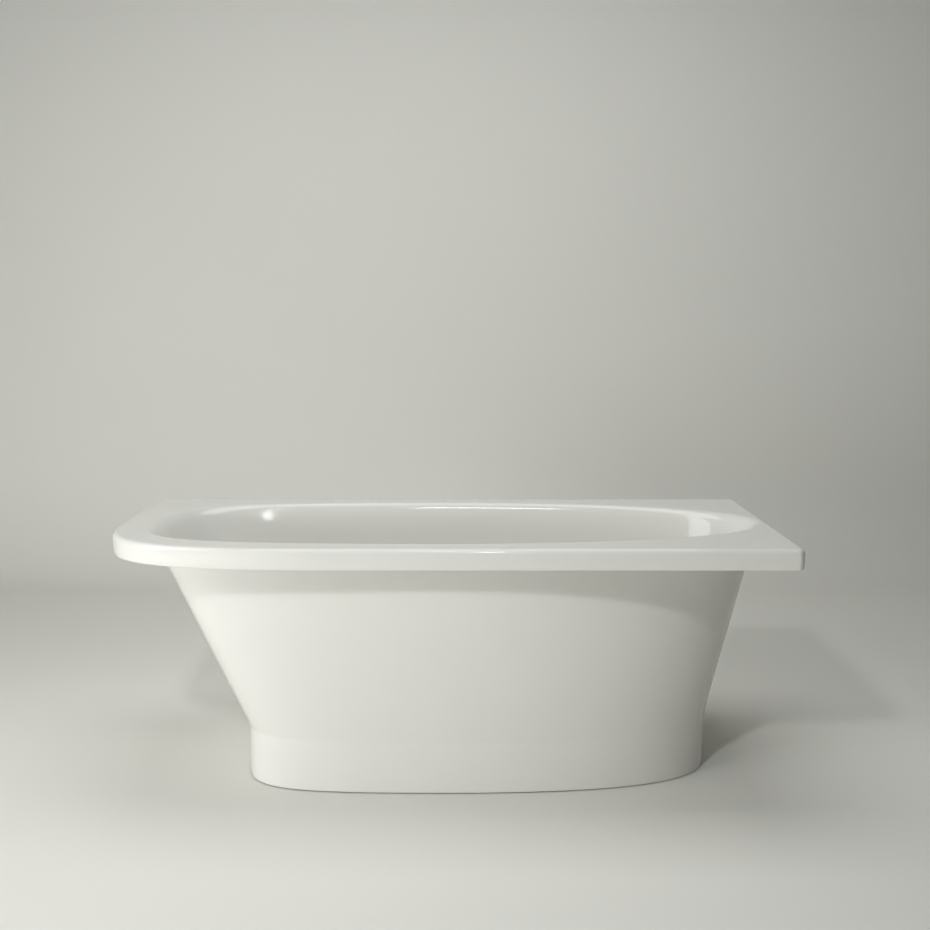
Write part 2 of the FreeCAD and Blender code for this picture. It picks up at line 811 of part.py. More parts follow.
def trapNut(x, y, z, axis, sizes):
    radius, bore, tall = sizes
    points = [vec(radius * math.cos(math.radians(a)), radius * math.sin(math.radians(a)), 0)
              for a in range(0, 361, 30)]
    nut = Part.Face(Part.makePolygon(points)).extrude(vec(0, 0, tall))
    nut = nut.cut(tube(bore, 0, -overrun, tall + overrun))
    nut.Placement = FreeCAD.Placement(vec(x, y, z), FreeCAD.Rotation(vec(0, 0, 1), axis))
    return nut


def trapPipe():
    route = roundedRoute([vec(wasteX, 0, bodyUnder - seatGap), vec(wasteX, 0, trapLow),
                          vec(wasteX, 2 * trapBend, trapLow), vec(wasteX, 2 * trapBend, outletHeight),
                          vec(wasteX, trapEnd, outletHeight)])
    return pipe(route, trapRadius, trapRadius - trapWall)


def outletPipe():
    """Pipe to the wall, with a collar that marks how far a coupling slides on."""
    long = wallEdge - wallGap - trapEnd - seatGap
    solid = Part.makeCylinder(trapRadius, long, vec(wasteX, trapEnd + seatGap, outletHeight), vec(0, 1, 0))
    collarPlace = wallEdge - wallGap - outletSpigot - outletCollar
    solid = solid.fuse(Part.makeCylinder(trapRadius + outletCollar, outletCollar,
                                         vec(wasteX, collarPlace, outletHeight), vec(0, 1, 0)))
    return solid.cut(Part.makeCylinder(trapRadius - trapWall, long + 2 * overrun,
                                       vec(wasteX, trapEnd - overrun, outletHeight), vec(0, 1, 0)))


def waste():
    body, inletHeight, inletX = wasteBody()
    write("waste_flange", wasteFlange())
    write("waste_seal", wasteSeal())
    write("waste_body", body)
    write("plug", plug())
    write("plug_seal", plugSeal())
    write("lift_pin", liftPin())
    write("trap_bend", trapPipe())
    write("outlet_pipe", outletPipe())
    nutSizes = (trapRadius + nutWall + looseGap, trapRadius + looseGap, trapNutHeight)
    write("trap_nut", trapNut(wasteX, 0, bodyUnder - trapNutHeight * 0.55, vec(0, 0, 1), nutSizes))
    write("outlet_nut", trapNut(wasteX, trapEnd - trapNutHeight / 2, outletHeight, vec(0, 1, 0), nutSizes))
    return inletHeight, inletX


# Overflow, drawn about the wall's normal: Z into the basin, X up the wall

def basinSolid(offset):
    levels = basinLevels(offset)
    return closedSolid(skin(levels, 3) + [flatFace(levels[0]), flatFace(levels[-1])])


def onWall(shape):
    shape.Placement = wallFrame()
    return shape


def ring(radius, bore, low, high):
    return tube(radius, bore, low, high)


def overflow():
    wallOut = shellWall * math.cos(math.radians(footSlope))
    gap = seatGap / shellWall
    inside = basinSolid(-gap)
    outside = basinSolid(1 + gap)
    plateThick = plateFace + wallRise(plateRadius)
    knobGap = plateThick + knobRoom
    plate = ring(plateRadius, plateRadius - plateBand, -wallOut, plateThick)
    hub = ring(spindleRadius + bodyWall, 0, 0, plateThick)
    spokes = [block(-webHalf, webHalf, 0, plateRadius - plateBand / 2, 0, plateThick) for k in range(3)]
    for k, spoke in enumerate(spokes):
        spoke.rotate(vec(0, 0, 0), vec(0, 0, 1), k * fullTurn / 3)
        plate = plate.fuse(spoke)
    plate = plate.fuse(hub).cut(ring(spindleRadius + runGap, 0, -overrun, plateThick + overrun))
    write("overflow_plate", onWall(plate.removeSplitter()).common(inside))

    sealLow = -wallOut - sealThick - seatGap
    seal = ring(plateRadius, overflowHole + looseGap, sealLow, 0)
    write("overflow_seal", onWall(seal).cut(outside))

    flangeLow = sealLow - overflowWall
    back = flangeLow - overflowDepth
    cup = ring(plateRadius, overflowHole - 2 * overflowWall, flangeLow, sealLow)
    cup = cup.fuse(ring(overflowHole, 0, back, flangeLow))
    axis = (flangeLow + back) / 2
    down = Part.makeCylinder(hoseBore - runGap, spigotLength + overflowWall,
                             vec(-overflowHole + overflowWall, 0, axis), vec(-1, 0, 0))
    cup = cup.fuse(down).cut(ring(overflowHole - overflowWall, 0, back + overflowWall, flangeLow + overrun))
    cup = cup.cut(Part.makeCylinder(hoseBore - spigotWall, spigotLength * 2,
                                    vec(-overflowHole + 2 * overflowWall, 0, axis), vec(-1, 0, 0)))
    offset = hoseRadius + cableGap
    rimAt = -math.sqrt(overflowHole ** 2 - offset ** 2)
    socket = Part.makeCylinder(cableRadius + socketWall, socketLength + overflowWall / 2,
                               vec(rimAt + overflowWall / 2, offset, axis), vec(-1, 0, 0))
    cableHole = Part.makeCylinder(cableRadius + runGap, socketLength + overrun,
                                  vec(rimAt, offset, axis), vec(-1, 0, 0))
    cup = cup.fuse(socket).cut(cableHole)
    write("overflow_body", onWall(cup.removeSplitter()))

    knob = turned([(0, knobGap), (knobRadius - overflowWall, knobGap), (knobRadius, knobGap + overflowWall),
                   (knobRadius, knobGap + knobDepth - overflowWall),
                   (knobRadius - overflowWall, knobGap + knobDepth), (0, knobGap + knobDepth)])
    grip = block(-knobRadius * 0.8, knobRadius * 0.8, -webHalf, webHalf,
                 knobGap + knobDepth - overflowWall, knobGap + knobDepth + overflowWall)
    write("control_knob", onWall(knob.fuse(grip).removeSplitter()))
    spindleEnd = back + 2 * overflowWall
    write("knob_spindle", onWall(ring(spindleRadius, 0, spindleEnd, knobGap)))
    drum = ring(drumRadius, spindleRadius, axis - drumThick / 2, axis + drumThick / 2)
    write("cable_drum", onWall(drum))
    return axis


def hoseAndCable(inletHeight, inletX, axis):
    """The hose leaves the overflow in line with its spigot, then follows the wall down to the inlet."""
    place = wallFrame()
    reach = plateRadius + looseGap
    start = vec(inletX + seatGap, 0, inletHeight)
    top = place.multVec(vec(-reach, 0, axis))
    knee = place.multVec(vec(-reach - 2 * spigotLength, 0, axis))
    drop = knee.z - inletHeight
    corner = vec(knee.x - drop * math.tan(math.radians(footSlope)), 0, inletHeight)
    write("overflow_hose", pipe(roundedRoute([start, corner, knee, top]), hoseRadius, hoseBore))
    side = vec(0, hoseRadius + cableGap, 0)
    rimAt = math.sqrt(overflowHole ** 2 - side.y ** 2)
    cableTop = place.multVec(vec(-rimAt - seatGap, side.y, axis))
    cableRoute = roundedRoute([start + side, corner + side, knee + side, cableTop])
    write("release_cable", pipe(cableRoute, cableRadius))


def main():
    write("tub_shell", tubShell())
    write("apron", apronPanel())
    rimBoards()
    clips = [apronClip(side, t) for side, t in clipShares]
    write("apron_clips", Part.makeCompound(clips))
    clipUnder = underDeck - rimBoardThick - clipThick
    clipScrews = [screwUp(*clipScrewPlace(side, t), clipUnder, screwGrip) for side, t in clipShares]
    write("clip_screws", Part.makeCompound(clipScrews))
    write("plinth_brackets", Part.makeCompound([plinthBracket(x, False) for x in barPlaces]))
    write("bracket_pads", Part.makeCompound([plinthBracket(x, True) for x in barPlaces]))
    bracketScrews = [screwUp(x, bracketScrewY, barUnder - bracketThick, bracketThick + railWall + overrun)
                     for x in barPlaces]
    write("bracket_screws", Part.makeCompound(bracketScrews))
    frame()
    feet()
    inletHeight, inletX = waste()
    axis = overflow()
    hoseAndCable(inletHeight, inletX, axis)


main()
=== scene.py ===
import math

import bmesh
import bpy
import numpy as np
from mathutils import Matrix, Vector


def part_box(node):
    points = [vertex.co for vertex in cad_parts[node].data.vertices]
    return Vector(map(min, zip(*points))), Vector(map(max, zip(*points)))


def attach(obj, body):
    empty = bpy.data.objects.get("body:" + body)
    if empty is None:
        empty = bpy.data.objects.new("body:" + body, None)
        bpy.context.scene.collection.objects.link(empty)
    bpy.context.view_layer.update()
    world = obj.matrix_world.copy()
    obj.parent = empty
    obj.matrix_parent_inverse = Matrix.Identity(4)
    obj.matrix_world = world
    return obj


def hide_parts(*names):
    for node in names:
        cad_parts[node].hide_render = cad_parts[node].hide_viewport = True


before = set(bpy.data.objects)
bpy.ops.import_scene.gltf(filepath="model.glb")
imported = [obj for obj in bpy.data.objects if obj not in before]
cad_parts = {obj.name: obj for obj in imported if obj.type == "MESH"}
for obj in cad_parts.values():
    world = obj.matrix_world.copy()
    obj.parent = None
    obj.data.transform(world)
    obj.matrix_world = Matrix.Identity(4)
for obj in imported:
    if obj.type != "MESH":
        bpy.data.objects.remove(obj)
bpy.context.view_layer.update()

# Bathtub in a plain studio: metres, X towards the foot end, Y towards the wall, Z up from the floor.
# The tub shell, the apron and the fittings that show are surfaces worked out here, over the fixed frame.

mm = 0.001
quarterTurn = np.linspace(0, np.pi / 2, 7)  # angles of a rolled edge


# Mesh helpers

# A mesh object from rows of points; faces that meet at more than the angle keep a sharp edge.
def makePiece(name, points, faces, material, smoothAngle=40.0):
    mesh = bpy.data.meshes.new(name)
    mesh.from_pydata(np.asarray(points).reshape(-1, 3).tolist(), [], faces)
    mesh.validate()
    mesh.polygons.foreach_set("use_smooth", np.ones(len(mesh.polygons), dtype=bool))
    mesh.set_sharp_from_angle(angle=math.radians(smoothAngle))
    mesh.materials.append(material)
    piece = bpy.data.objects.new(name, mesh)
    bpy.context.collection.objects.link(piece)
    return piece


# Quads between neighbouring rows; the last column joins the first on a closed ring.
def gridFaces(rows, cols, closed=True):
    last = cols if closed else cols - 1
    r, c = np.meshgrid(np.arange(rows - 1), np.arange(last), indexing="ij")
    n = (c + 1) % cols
    quads = np.stack([r * cols + c, r * cols + n, (r + 1) * cols + n, (r + 1) * cols + c], axis=-1)
    return quads.reshape(-1, 4).tolist()


# Quads from the last ring back to the first.
def closingFaces(rows, cols):
    c = np.arange(cols)
    n = (c + 1) % cols
    last = (rows - 1) * cols
    return np.stack([last + c, last + n, n, c], axis=-1).tolist()


# One face over each end of a tube of rings.
def endFaces(rows, cols, flip=False):
    ends = [list(range(cols))[::-1], list(range((rows - 1) * cols, rows * cols))]
    return [end[::-1] for end in ends] if flip else ends


# Triangles from a ring of points to one centre point.
def fanFaces(row, cols, centre, flip=False):
    c = np.arange(cols)
    n = (c + 1) % cols
    tris = np.stack([row * cols + c, row * cols + n, np.full(cols, centre)], axis=-1)
    return (tris[:, ::-1] if flip else tris).tolist()


# Blends of a clamped B-spline with even knots: each blend of a degree mixes two of the one below.
def clampedBasis(count, degree, samples):
    inner = np.linspace(0, 1, count - degree + 1)
    knots = np.concatenate([np.zeros(degree), inner, np.ones(degree)])
    s = np.clip(samples, 0, 1 - 1e-12)[:, None]
    blend = ((s >= knots[:-1]) & (s < knots[1:])).astype(float)
    for d in range(1, degree + 1):
        low, high = knots[:-d - 1], knots[d:-1]
        lowNext, highNext = knots[1:-d], knots[d + 1:]
        span = np.where(high > low, high - low, 1)
        spanNext = np.where(highNext > lowNext, highNext - lowNext, 1)
        a = np.where(high > low, (s - low) / span, 0)
        b = np.where(highNext > lowNext, (highNext - s) / spanNext, 0)
        blend = a * blend[:, :-1] + b * blend[:, 1:]
    return blend


# The four cubic weights of a curve with end points and two handles.
def quarterBlend(t):
    t = np.asarray(t)[:, None]
    return np.hstack([(1 - t) ** 3, 3 * t * (1 - t) ** 2, 3 * t * t * (1 - t), t ** 3])


# Points of the surface whose control outlines are the levels: a B-spline down the rows, handles along.
def skinPoints(levels, degree, rows, edge, t):
    down = clampedBasis(len(levels), min(degree, len(levels) - 1), rows)
    return np.einsum("rl,lckx,ck->rcx", down, levels[:, edge], quarterBlend(t))


# A straight edge as four poles in even steps.
def straight(a, b):
    a, b = np.array(a), np.array(b)
    return [a, a + (b - a) / 3, a + (b - a) * 2 / 3, b]


# Cuts a solid out of a piece and keeps the result as its mesh.
def cutBy(piece, cutter):
    cut = piece.modifiers.new("hole", "BOOLEAN")
    cut.operation = "DIFFERENCE"
    cut.solver = "EXACT"
    cut.object = cutter
    graph = bpy.context.evaluated_depsgraph_get()
    mesh = bpy.data.meshes.new_from_object(piece.evaluated_get(graph))
    piece.modifiers.clear()
    piece.data = mesh
    bpy.data.objects.remove(cutter)


# A profile of (radius, height) points carried round the Z axis, then placed.
def turnedPoints(profile, steps, place=None):
    angle = np.linspace(0, 2 * np.pi, steps, endpoint=False)
    r, z = np.array(profile).T
    points = np.stack([r[:, None] * np.cos(angle), r[:, None] * np.sin(angle),
                       np.repeat(z[:, None], steps, axis=1)], axis=-1)
    return placed(points, place)


# Points turned and moved by a matrix.
def placed(points, place):
    if place is None:
        return points
    turn = np.array(place.to_3x3())
    return points @ turn.T + np.array(place.translation)


# A turned piece: the profile runs from the axis up the outside, or closes on itself for a ring.
def turnedPiece(name, profile, material, steps, place=None, closed=False):
    points = turnedPoints(profile, steps, place)
    faces = gridFaces(len(profile), steps)
    if closed:
        faces += closingFaces(len(profile), steps)
    piece = makePiece(name, points, faces, material, smoothAngle=30.0)
    mergeNear(piece, 0.001 * mm)
    return piece


# Joins points closer than the distance and turns all faces outwards.
def mergeNear(piece, distance):
    work = bmesh.new()
    work.from_mesh(piece.data)
    bmesh.ops.remove_doubles(work, verts=work.verts, dist=distance)
    bmesh.ops.recalc_face_normals(work, faces=work.faces)
    work.to_mesh(piece.data)
    work.free()


# Rounds the edges where faces meet at more than the angle.
def addBevel(piece, width, segments, angle):
    bevel = piece.modifiers.new("edge", "BEVEL")
    bevel.width = width
    bevel.segments = segments
    bevel.limit_method = "ANGLE"
    bevel.angle_limit = math.radians(angle)
    bevel.harden_normals = False


# Materials

# sRGB hex to linear red, green, blue and full alpha.
def linear(hexColour):
    value = [int(hexColour[i:i + 2], 16) / 255 for i in (1, 3, 5)]
    return [v / 12.92 if v <= 0.04045 else ((v + 0.055) / 1.055) ** 2.4 for v in value] + [1.0]


# Adds a node: settings are its properties or input values, links join its inputs to sockets.
def addNode(tree, kind, settings=None, links=None):
    node = tree.nodes.new(kind)
    for key, value in (settings or {}).items():
        if isinstance(key, int) or key in node.inputs:
            node.inputs[key].default_value = value
        else:
            setattr(node, key, value)
    for key, socket in (links or {}).items():
        tree.links.new(socket, node.inputs[key])
    return node


def newMaterial(name, colour, settings):
    material = bpy.data.materials.new(name)
    material.use_nodes = True
    tree = material.node_tree
    shader = tree.nodes["Principled BSDF"]
    shader.inputs["Base Color"].default_value = linear(colour)
    for key, value in settings.items():
        shader.inputs[key].default_value = value
    return material, tree, shader


# Joins a finish's colour, bump and, where it has one, its spread of roughness to the shader.
def joinFinish(tree, shader, tint, bump, gloss=None):
    tree.links.new(tint.outputs[2], shader.inputs["Base Color"])
    if gloss:
        tree.links.new(gloss.outputs["Result"], shader.inputs["Roughness"])
    tree.links.new(bump.outputs["Normal"], shader.inputs["Normal"])


def sanitaryAcrylic():
    # Vacuum-formed white acrylic: a deep gloss over a very faint slow waviness of the sheet.
    material, tree, shader = newMaterial("vacuumFormedAcrylic", "#E6E6E0", {
        "Roughness": 0.09, "IOR": 1.49})
    place = addNode(tree, "ShaderNodeTexCoord")
    slow = addNode(tree, "ShaderNodeTexNoise", {"Scale": 1 / (180 * mm), "Detail": 1.0},
                   {"Vector": place.outputs["Object"]})
    fine = addNode(tree, "ShaderNodeTexNoise", {"Scale": 1 / (6 * mm), "Detail": 2.0},
                   {"Vector": place.outputs["Object"]})
    tint = addNode(tree, "ShaderNodeMix", {"data_type": "RGBA", 6: linear("#E7E7E2"), 7: linear("#E4E4DE")},
                   {"Factor": slow.outputs["Fac"]})
    gloss = addNode(tree, "ShaderNodeMapRange", {"To Min": 0.07, "To Max": 0.11},
                    {"Value": fine.outputs["Fac"]})
    bump = addNode(tree, "ShaderNodeBump", {"Strength": 0.05, "Distance": 0.4 * mm},
                   {"Height": slow.outputs["Fac"]})
    joinFinish(tree, shader, tint, bump, gloss)
    return material


acrylic = sanitaryAcrylic()


# Tub shell

tubSizes = {
    "length": 1700 * mm, "width": 750 * mm, "height": 650 * mm, "rimDrop": 51 * mm, "rimTurnIn": 2.5 * mm,
    "rimRound": 13 * mm, "cornerRadius": 17 * mm, "cornerRun": 574 * mm, "cornerDepth": 400 * mm,
    "wall": 8 * mm, "rimWall": 6 * mm, "head": 773 * mm, "foot": 833 * mm, "half": 308 * mm,
    "rollHead": 56 * mm, "rollFoot": 62 * mm, "rollSide": 31 * mm, "lipDrop": 46 * mm,
    "headSlope": 28.0, "footSlope": 22.0, "sideSlope": 9.0, "depth": 430 * mm, "floorBend": 110 * mm,
    "floorRun": 40 * mm, "fall": 7 * mm, "wasteX": 425 * mm, "boardHead": 405 * mm,
    "headShares": (0.864, 0.82), "footShares": (0.591, 0.59), "cornerShares": (0.98, 0.563),
    "round": 0.5523, "lipFlatShare": 0.12, "lipBendShares": (0.45, 0.12),
    "rimRoundShare": 0.42, "rimTurnShare": 0.4, "rimFlatStart": 17 * mm, "rimEdge": 1.4 * mm,
    "rimTurnEnd": 0.86, "crownRows": 15, "turnRows": 10, "lipRows": 6,
    "wasteHole": 26 * mm, "wasteCut": (190 * mm, 60 * mm), "overflowHole": 27 * mm,
    "overflowCut": (-30 * mm, 20 * mm), "holeSteps": 64, "basinRows": 84, "ovalSteps": 72, "rimSteps": 40,
    "straightSkip": 10, "deckShares": (0.06, 0.5, 0.94), "floorShares": (0.3, 0.6, 0.85),
    "baseShares": (0.6,),
}


# An oval as four quarters of four poles: each handle reaches a share of its half axis.
def ovalPoles(head, foot, half, headShares, footShares):
    def quarter(end, side, shares):
        return [(0, side), (end * shares[0], side), (end, side * shares[1]), (end, 0)]
    return np.array([quarter(foot, -half, footShares), quarter(foot, half, footShares)[::-1],
                     quarter(-head, half, headShares), quarter(-head, -half, headShares)[::-1]], dtype=float)


# The rim's outline at an inset: the large head corner, then straights and small corners in turn.
def rimPoles(inset):
    s = tubSizes
    left, right = -s["length"] / 2 + inset, s["length"] / 2 - inset
    front, rear = -s["width"] / 2 + inset, s["width"] / 2 - inset
    small = s["cornerRadius"] * (1 - inset / (s["rimRound"] + s["rimWall"]))
    keep = small * (1 - s["round"])
    runEnd, depthEnd = -s["length"] / 2 + s["cornerRun"], -s["width"] / 2 + s["cornerDepth"]
    big = [(left, depthEnd), (left, depthEnd - (depthEnd - front) * s["cornerShares"][1]),
           (runEnd - (runEnd - left) * s["cornerShares"][0], front), (runEnd, front)]
    frontFoot = [(right - small, front), (right - keep, front),
                 (right, front + keep), (right, front + small)]
    rearFoot = [(right, rear - small), (right, rear - keep),
                (right - keep, rear), (right - small, rear)]
    rearHead = [(left + small, rear), (left + keep, rear),
                (left, rear - keep), (left, rear - small)]
    return np.array([big, straight(big[3], frontFoot[0]), frontFoot, straight(frontFoot[3], rearFoot[0]),
                     rearFoot, straight(rearFoot[3], rearHead[0]), rearHead, straight(rearHead[3], big[0])])


# Plan poles at one height.
def lifted(poles, z):
    return np.concatenate([poles, np.full(poles.shape[:2] + (1,), z)], axis=2)


# Control outlines of the basin, from the lip down to the flat floor; offset 1 is the outer face.
def basinLevels(offset):
    s = tubSizes
    out = s["wall"] * offset
    slopes = np.tan(np.radians([s["headSlope"], s["footSlope"], s["sideSlope"]]))
    rolls = np.array([s["rollHead"], s["rollFoot"], s["rollSide"]])
    sizes = np.array([s["head"], s["foot"], s["half"]])
    top, bottom = s["height"], s["height"] - s["depth"]
    lipLow = top - s["lipDrop"]

    def wallInset(z):
        return rolls + (lipLow - z) * slopes

    # Each row: inset, height, share of the wall's thickness taken sideways, share of the floor's fall.
    rows = [
        (rolls * 0, top - out, 0, 0),
        (rolls * s["lipFlatShare"], top - out, 0, 0),
        (rolls * s["lipBendShares"][0], top - s["lipDrop"] * s["lipBendShares"][1] - out, 0.45, 0),
        (wallInset(lipLow), lipLow - out * 0.35, 1, 0),
        (wallInset(top - s["depth"] / 2), top - s["depth"] / 2, 1.05, 0.3),
        (wallInset(bottom + s["floorBend"]), bottom + s["floorBend"], 1.05, 0.7),
        (wallInset(bottom), bottom - out, 0.8, 1),
        (wallInset(bottom) + s["floorRun"], bottom - out, 0.4, 1),
        (wallInset(bottom) + s["floorRun"] * 2, bottom - out, 0, 1),
        (wallInset(bottom) + s["floorRun"] * 3, bottom - out, 0, 1),
    ]
    fall = s["fall"] / (s["wasteX"] + s["boardHead"]) * (1 - offset)
    levels = []
    for insets, z, outShare, fallShare in rows:
        level = lifted(ovalPoles(*(sizes - insets + out * outShare), s["headShares"], s["footShares"]), z)
        level[:, :, 2] += (s["wasteX"] - level[:, :, 0]) * fall * fallShare
        levels.append(level)
    return np.array(levels)


# Section of the rim from its top edge down: round edge, flat face, then turned in with a small soft edge.
def rimProfile():
    s = tubSizes
    low, top = s["height"] - s["rimDrop"], s["height"]
    soft = s["rimRound"] * s["rimRoundShare"]
    flatLow = low + s["rimFlatStart"]
    edge = s["rimEdge"]
    crown = quarterBlend(np.linspace(0, 1, s["crownRows"])) @ np.array([
        (top, s["rimRound"]), (top, soft), (top - soft, 0), (top - s["rimRound"], 0)])
    t = np.linspace(0, s["rimTurnEnd"], s["turnRows"])[:, None]
    turn = ((1 - t) ** 2 * np.array([flatLow, 0]) + 2 * t * (1 - t) * np.array(
        [low + s["rimFlatStart"] * s["rimTurnShare"], 0]) + t * t * np.array([low, s["rimTurnIn"]]))
    end = turn[-1]
    u = np.linspace(0, 1, s["lipRows"])[1:, None]
    lip = ((1 - u) ** 2 * end + 2 * u * (1 - u) * np.array([low, s["rimTurnIn"]])
           + u * u * np.array([low, s["rimTurnIn"] + edge]))
    return np.vstack([crown, [((top - s["rimRound"] + flatLow) / 2, 0)], turn, lip])


# Angle seen from the middle along an outline, and the edge number plus share of each sample.
def ringAngle(poles, count):
    place = np.linspace(0, len(poles), len(poles) * count, endpoint=False)
    edge = place.astype(int)
    points = np.einsum("ckx,ck->cx", poles[edge], quarterBlend(place - edge))
    return np.unwrap(np.arctan2(points[:, 1], points[:, 0])), place


# Edge and share of the outline at given angles, so that rings of two outlines meet in line.
def placeAt(angles, poles, samples=4000):
    seen, place = ringAngle(poles, samples)
    turn = 2 * np.pi
    spread = np.concatenate([seen - turn, seen, seen + turn])
    value = np.concatenate([place - len(poles), place, place + len(poles)])
    found = np.interp(angles, spread, value) % len(poles)
    edge = np.minimum(found.astype(int), len(poles) - 1)
    return edge, found - edge


# The overflow stands on the foot end wall: its own Z points into the basin and its X up the wall.
overflowPlace = Matrix(((0.401217, 0, -0.915983, 750.428 * mm), (0, 1, 0, 0),
                        (0.915983, 0, 0.401217, 550 * mm), (0, 0, 0, 1)))


# One closed skin in rings, matched by angle: floor, basin, deck, rim face, hollow, underside.
def tubShell():
    s = tubSizes
    inner, outer = basinLevels(0), basinLevels(1)
    rim = np.array([lifted(rimPoles(inset), z) for z, inset in rimProfile()])
    flat = slice(0, 2)
    rimSeen, rimPlace = ringAngle(rim[0][:, :, flat], s["rimSteps"])
    corner = rimPlace.astype(int) % 2 == 0
    ovalSeen = ringAngle(inner[0][:, :, flat], s["ovalSteps"])[0]
    angles = np.concatenate([ovalSeen, rimSeen[corner], rimSeen[::s["straightSkip"]]])
    angles = np.unique(np.round(angles % (2 * np.pi), 4))
    rimEdge, rimT = placeAt(angles, rim[0][:, :, flat])
    ovalEdge, ovalT = placeAt(angles, inner[0][:, :, flat])
    along = quarterBlend(rimT)
    face = np.einsum("rckx,ck->rcx", rim[:, rimEdge], along)
    down = np.linspace(0, 1, s["basinRows"])
    basin = skinPoints(inner, 3, down[::-1], ovalEdge, ovalT)
    under = skinPoints(outer, 3, down[::2], ovalEdge, ovalT)
    hollowRows = [(s["height"] - s["rimDrop"], s["rimTurnIn"] + s["rimWall"]),
                  (s["height"] - s["wall"] - s["rimWall"], s["rimWall"] + s["rimTurnIn"] / 2),
                  (s["height"] - s["wall"], s["rimRound"])]
    hollow = np.array([lifted(rimPoles(inset), z) for z, inset in hollowRows])
    hollow = np.einsum("rckx,ck->rcx", hollow[:, rimEdge], along)
    deck = basin[-1] + (face[0] - basin[-1]) * np.array(s["deckShares"])[:, None, None]
    floorMiddle = basin[0].mean(axis=0)
    underMiddle = under[-1].mean(axis=0)
    floor = floorMiddle + (basin[0] - floorMiddle) * np.array(s["floorShares"])[:, None, None]
    base = underMiddle + (under[-1] - underMiddle) * np.array(s["baseShares"])[:, None, None]
    rings = np.concatenate([floor, basin, deck, face, hollow, under, base])
    rows, cols = rings.shape[:2]
    points = np.concatenate([rings.reshape(-1, 3), [floorMiddle, underMiddle]])
    faces = gridFaces(rows, cols)
    faces += fanFaces(0, cols, rows * cols, flip=True)
    faces += fanFaces(rows - 1, cols, rows * cols + 1)
    piece = makePiece("tub_shell_formed", points, [face[::-1] for face in faces], acrylic)
    start, height = s["wasteCut"]
    wasteDrill = [(0, 0), (s["wasteHole"], 0), (s["wasteHole"], height), (0, height)]
    wastePlace = Matrix.Translation((s["wasteX"], 0, start))
    cutBy(piece, turnedPiece("wasteCutter", wasteDrill, acrylic, s["holeSteps"], wastePlace))
    behind, beyond = s["overflowCut"]
    overflowDrill = [(0, behind), (s["overflowHole"], behind), (s["overflowHole"], beyond), (0, beyond)]
    cutBy(piece, turnedPiece("overflowCutter", overflowDrill, acrylic, s["holeSteps"], overflowPlace))
    return piece


tub = tubShell()
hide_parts("tub_shell")
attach(tub, "bath")
print("tub shell", len(tub.data.polygons))


# Apron

apronSizes = {
    "top": 605 * mm, "rim": 599 * mm, "plinth": 134 * mm, "low": 3.5 * mm, "wall": 5 * mm,
    "flange": 32 * mm, "rear": 363 * mm, "upper": (734.5 * mm, 808 * mm, 306 * mm),
    "lower": (517 * mm, 691.5 * mm, 250 * mm), "headShares": (0.894, 0.873), "footShares": (0.612, 0.762),
    "sharpCrease": 2.5 * mm, "softCrease": 34 * mm, "softFrom": 0.34, "softTo": 0.70, "edge": 0.5 * mm,
    "bend": 90 * mm, "bendCrowding": 3.2, "bendRows": 33, "lowRows": 5, "highRows": 14,
    "edgeSteps": (4, 20, 110, 110, 20, 4), "lastPlace": 5.9999,
}


# Open outline as edges of four poles: rear flange, straight end, two quarters, straight end, rear flange.
def apronPoles(head, foot, half):
    a = apronSizes
    headShare, footShare, rear = a["headShares"], a["footShares"], a["rear"]
    quarterHead = [(-head, 0), (-head, -half * headShare[1]), (-head * headShare[0], -half), (0, -half)]
    quarterFoot = [(0, -half), (foot * footShare[0], -half), (foot, -half * footShare[1]), (foot, 0)]
    return np.array([
        straight((-head + a["flange"], rear), (-head, rear)), straight((-head, rear), (-head, 0)),
        quarterHead, quarterFoot,
        straight((foot, 0), (foot, rear)), straight((foot, rear), (foot - a["flange"], rear))])


# The panel leans in to the plinth line and stands upright below it. The bend there is a smooth maximum,
# half of (u + root of u squared + softness squared), crisp at the head end and soft at the foot end.
# Rows crowd towards that line as a hyperbolic sine.
def apronPanel():
    a = apronSizes
    slope = (np.array(a["upper"]) - np.array(a["lower"])) / (a["rim"] - a["plinth"])
    top = apronPoles(*(np.array(a["upper"]) + slope * (a["top"] - a["rim"])))
    low = apronPoles(*a["lower"])
    steps = [edge + np.linspace(0, 1, n, endpoint=False) for edge, n in enumerate(a["edgeSteps"])]
    place = np.concatenate(steps + [[a["lastPlace"]]])
    edge = place.astype(int)
    along = quarterBlend(place - edge)
    topLine = np.einsum("ck,ckx->cx", along, top[edge])
    lowLine = np.einsum("ck,ckx->cx", along, low[edge])
    share = np.clip((lowLine[:, 0] - a["softFrom"]) / (a["softTo"] - a["softFrom"]), 0, 1)
    soft = a["sharpCrease"] + (a["softCrease"] - a["sharpCrease"]) * share * share * (3 - 2 * share)
    crowding, bend = a["bendCrowding"], a["bend"]
    near = np.sinh(np.linspace(-crowding, crowding, a["bendRows"])) / np.sinh(crowding) * bend
    z = np.unique(np.round(np.concatenate([
        np.linspace(a["low"], a["plinth"] - bend, a["lowRows"]), a["plinth"] + near,
        np.linspace(a["plinth"] + bend, a["top"], a["highRows"])]), 6))
    u = z[:, None] - a["plinth"]
    lean = 0.5 * (u + np.sqrt(u * u + soft * soft)) / (a["top"] - a["plinth"])
    plan = lowLine + (topLine - lowLine) * lean[:, :, None]
    points = np.concatenate([plan, np.repeat(z[:, None, None], plan.shape[1], axis=1)], axis=2)
    piece = makePiece("apron_formed", points, gridFaces(*plan.shape[:2], closed=False), acrylic,
                      smoothAngle=50.0)
    wall = piece.modifiers.new("wall", "SOLIDIFY")
    wall.thickness = a["wall"]
    wall.offset = -1
    wall.use_even_offset = True
    addBevel(piece, a["edge"], segments=3, angle=50.0)
    return piece


apron = apronPanel()
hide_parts("apron")
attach(apron, "bath")
print("apron", len(apron.data.polygons))


# Finishes of the fittings and the frame

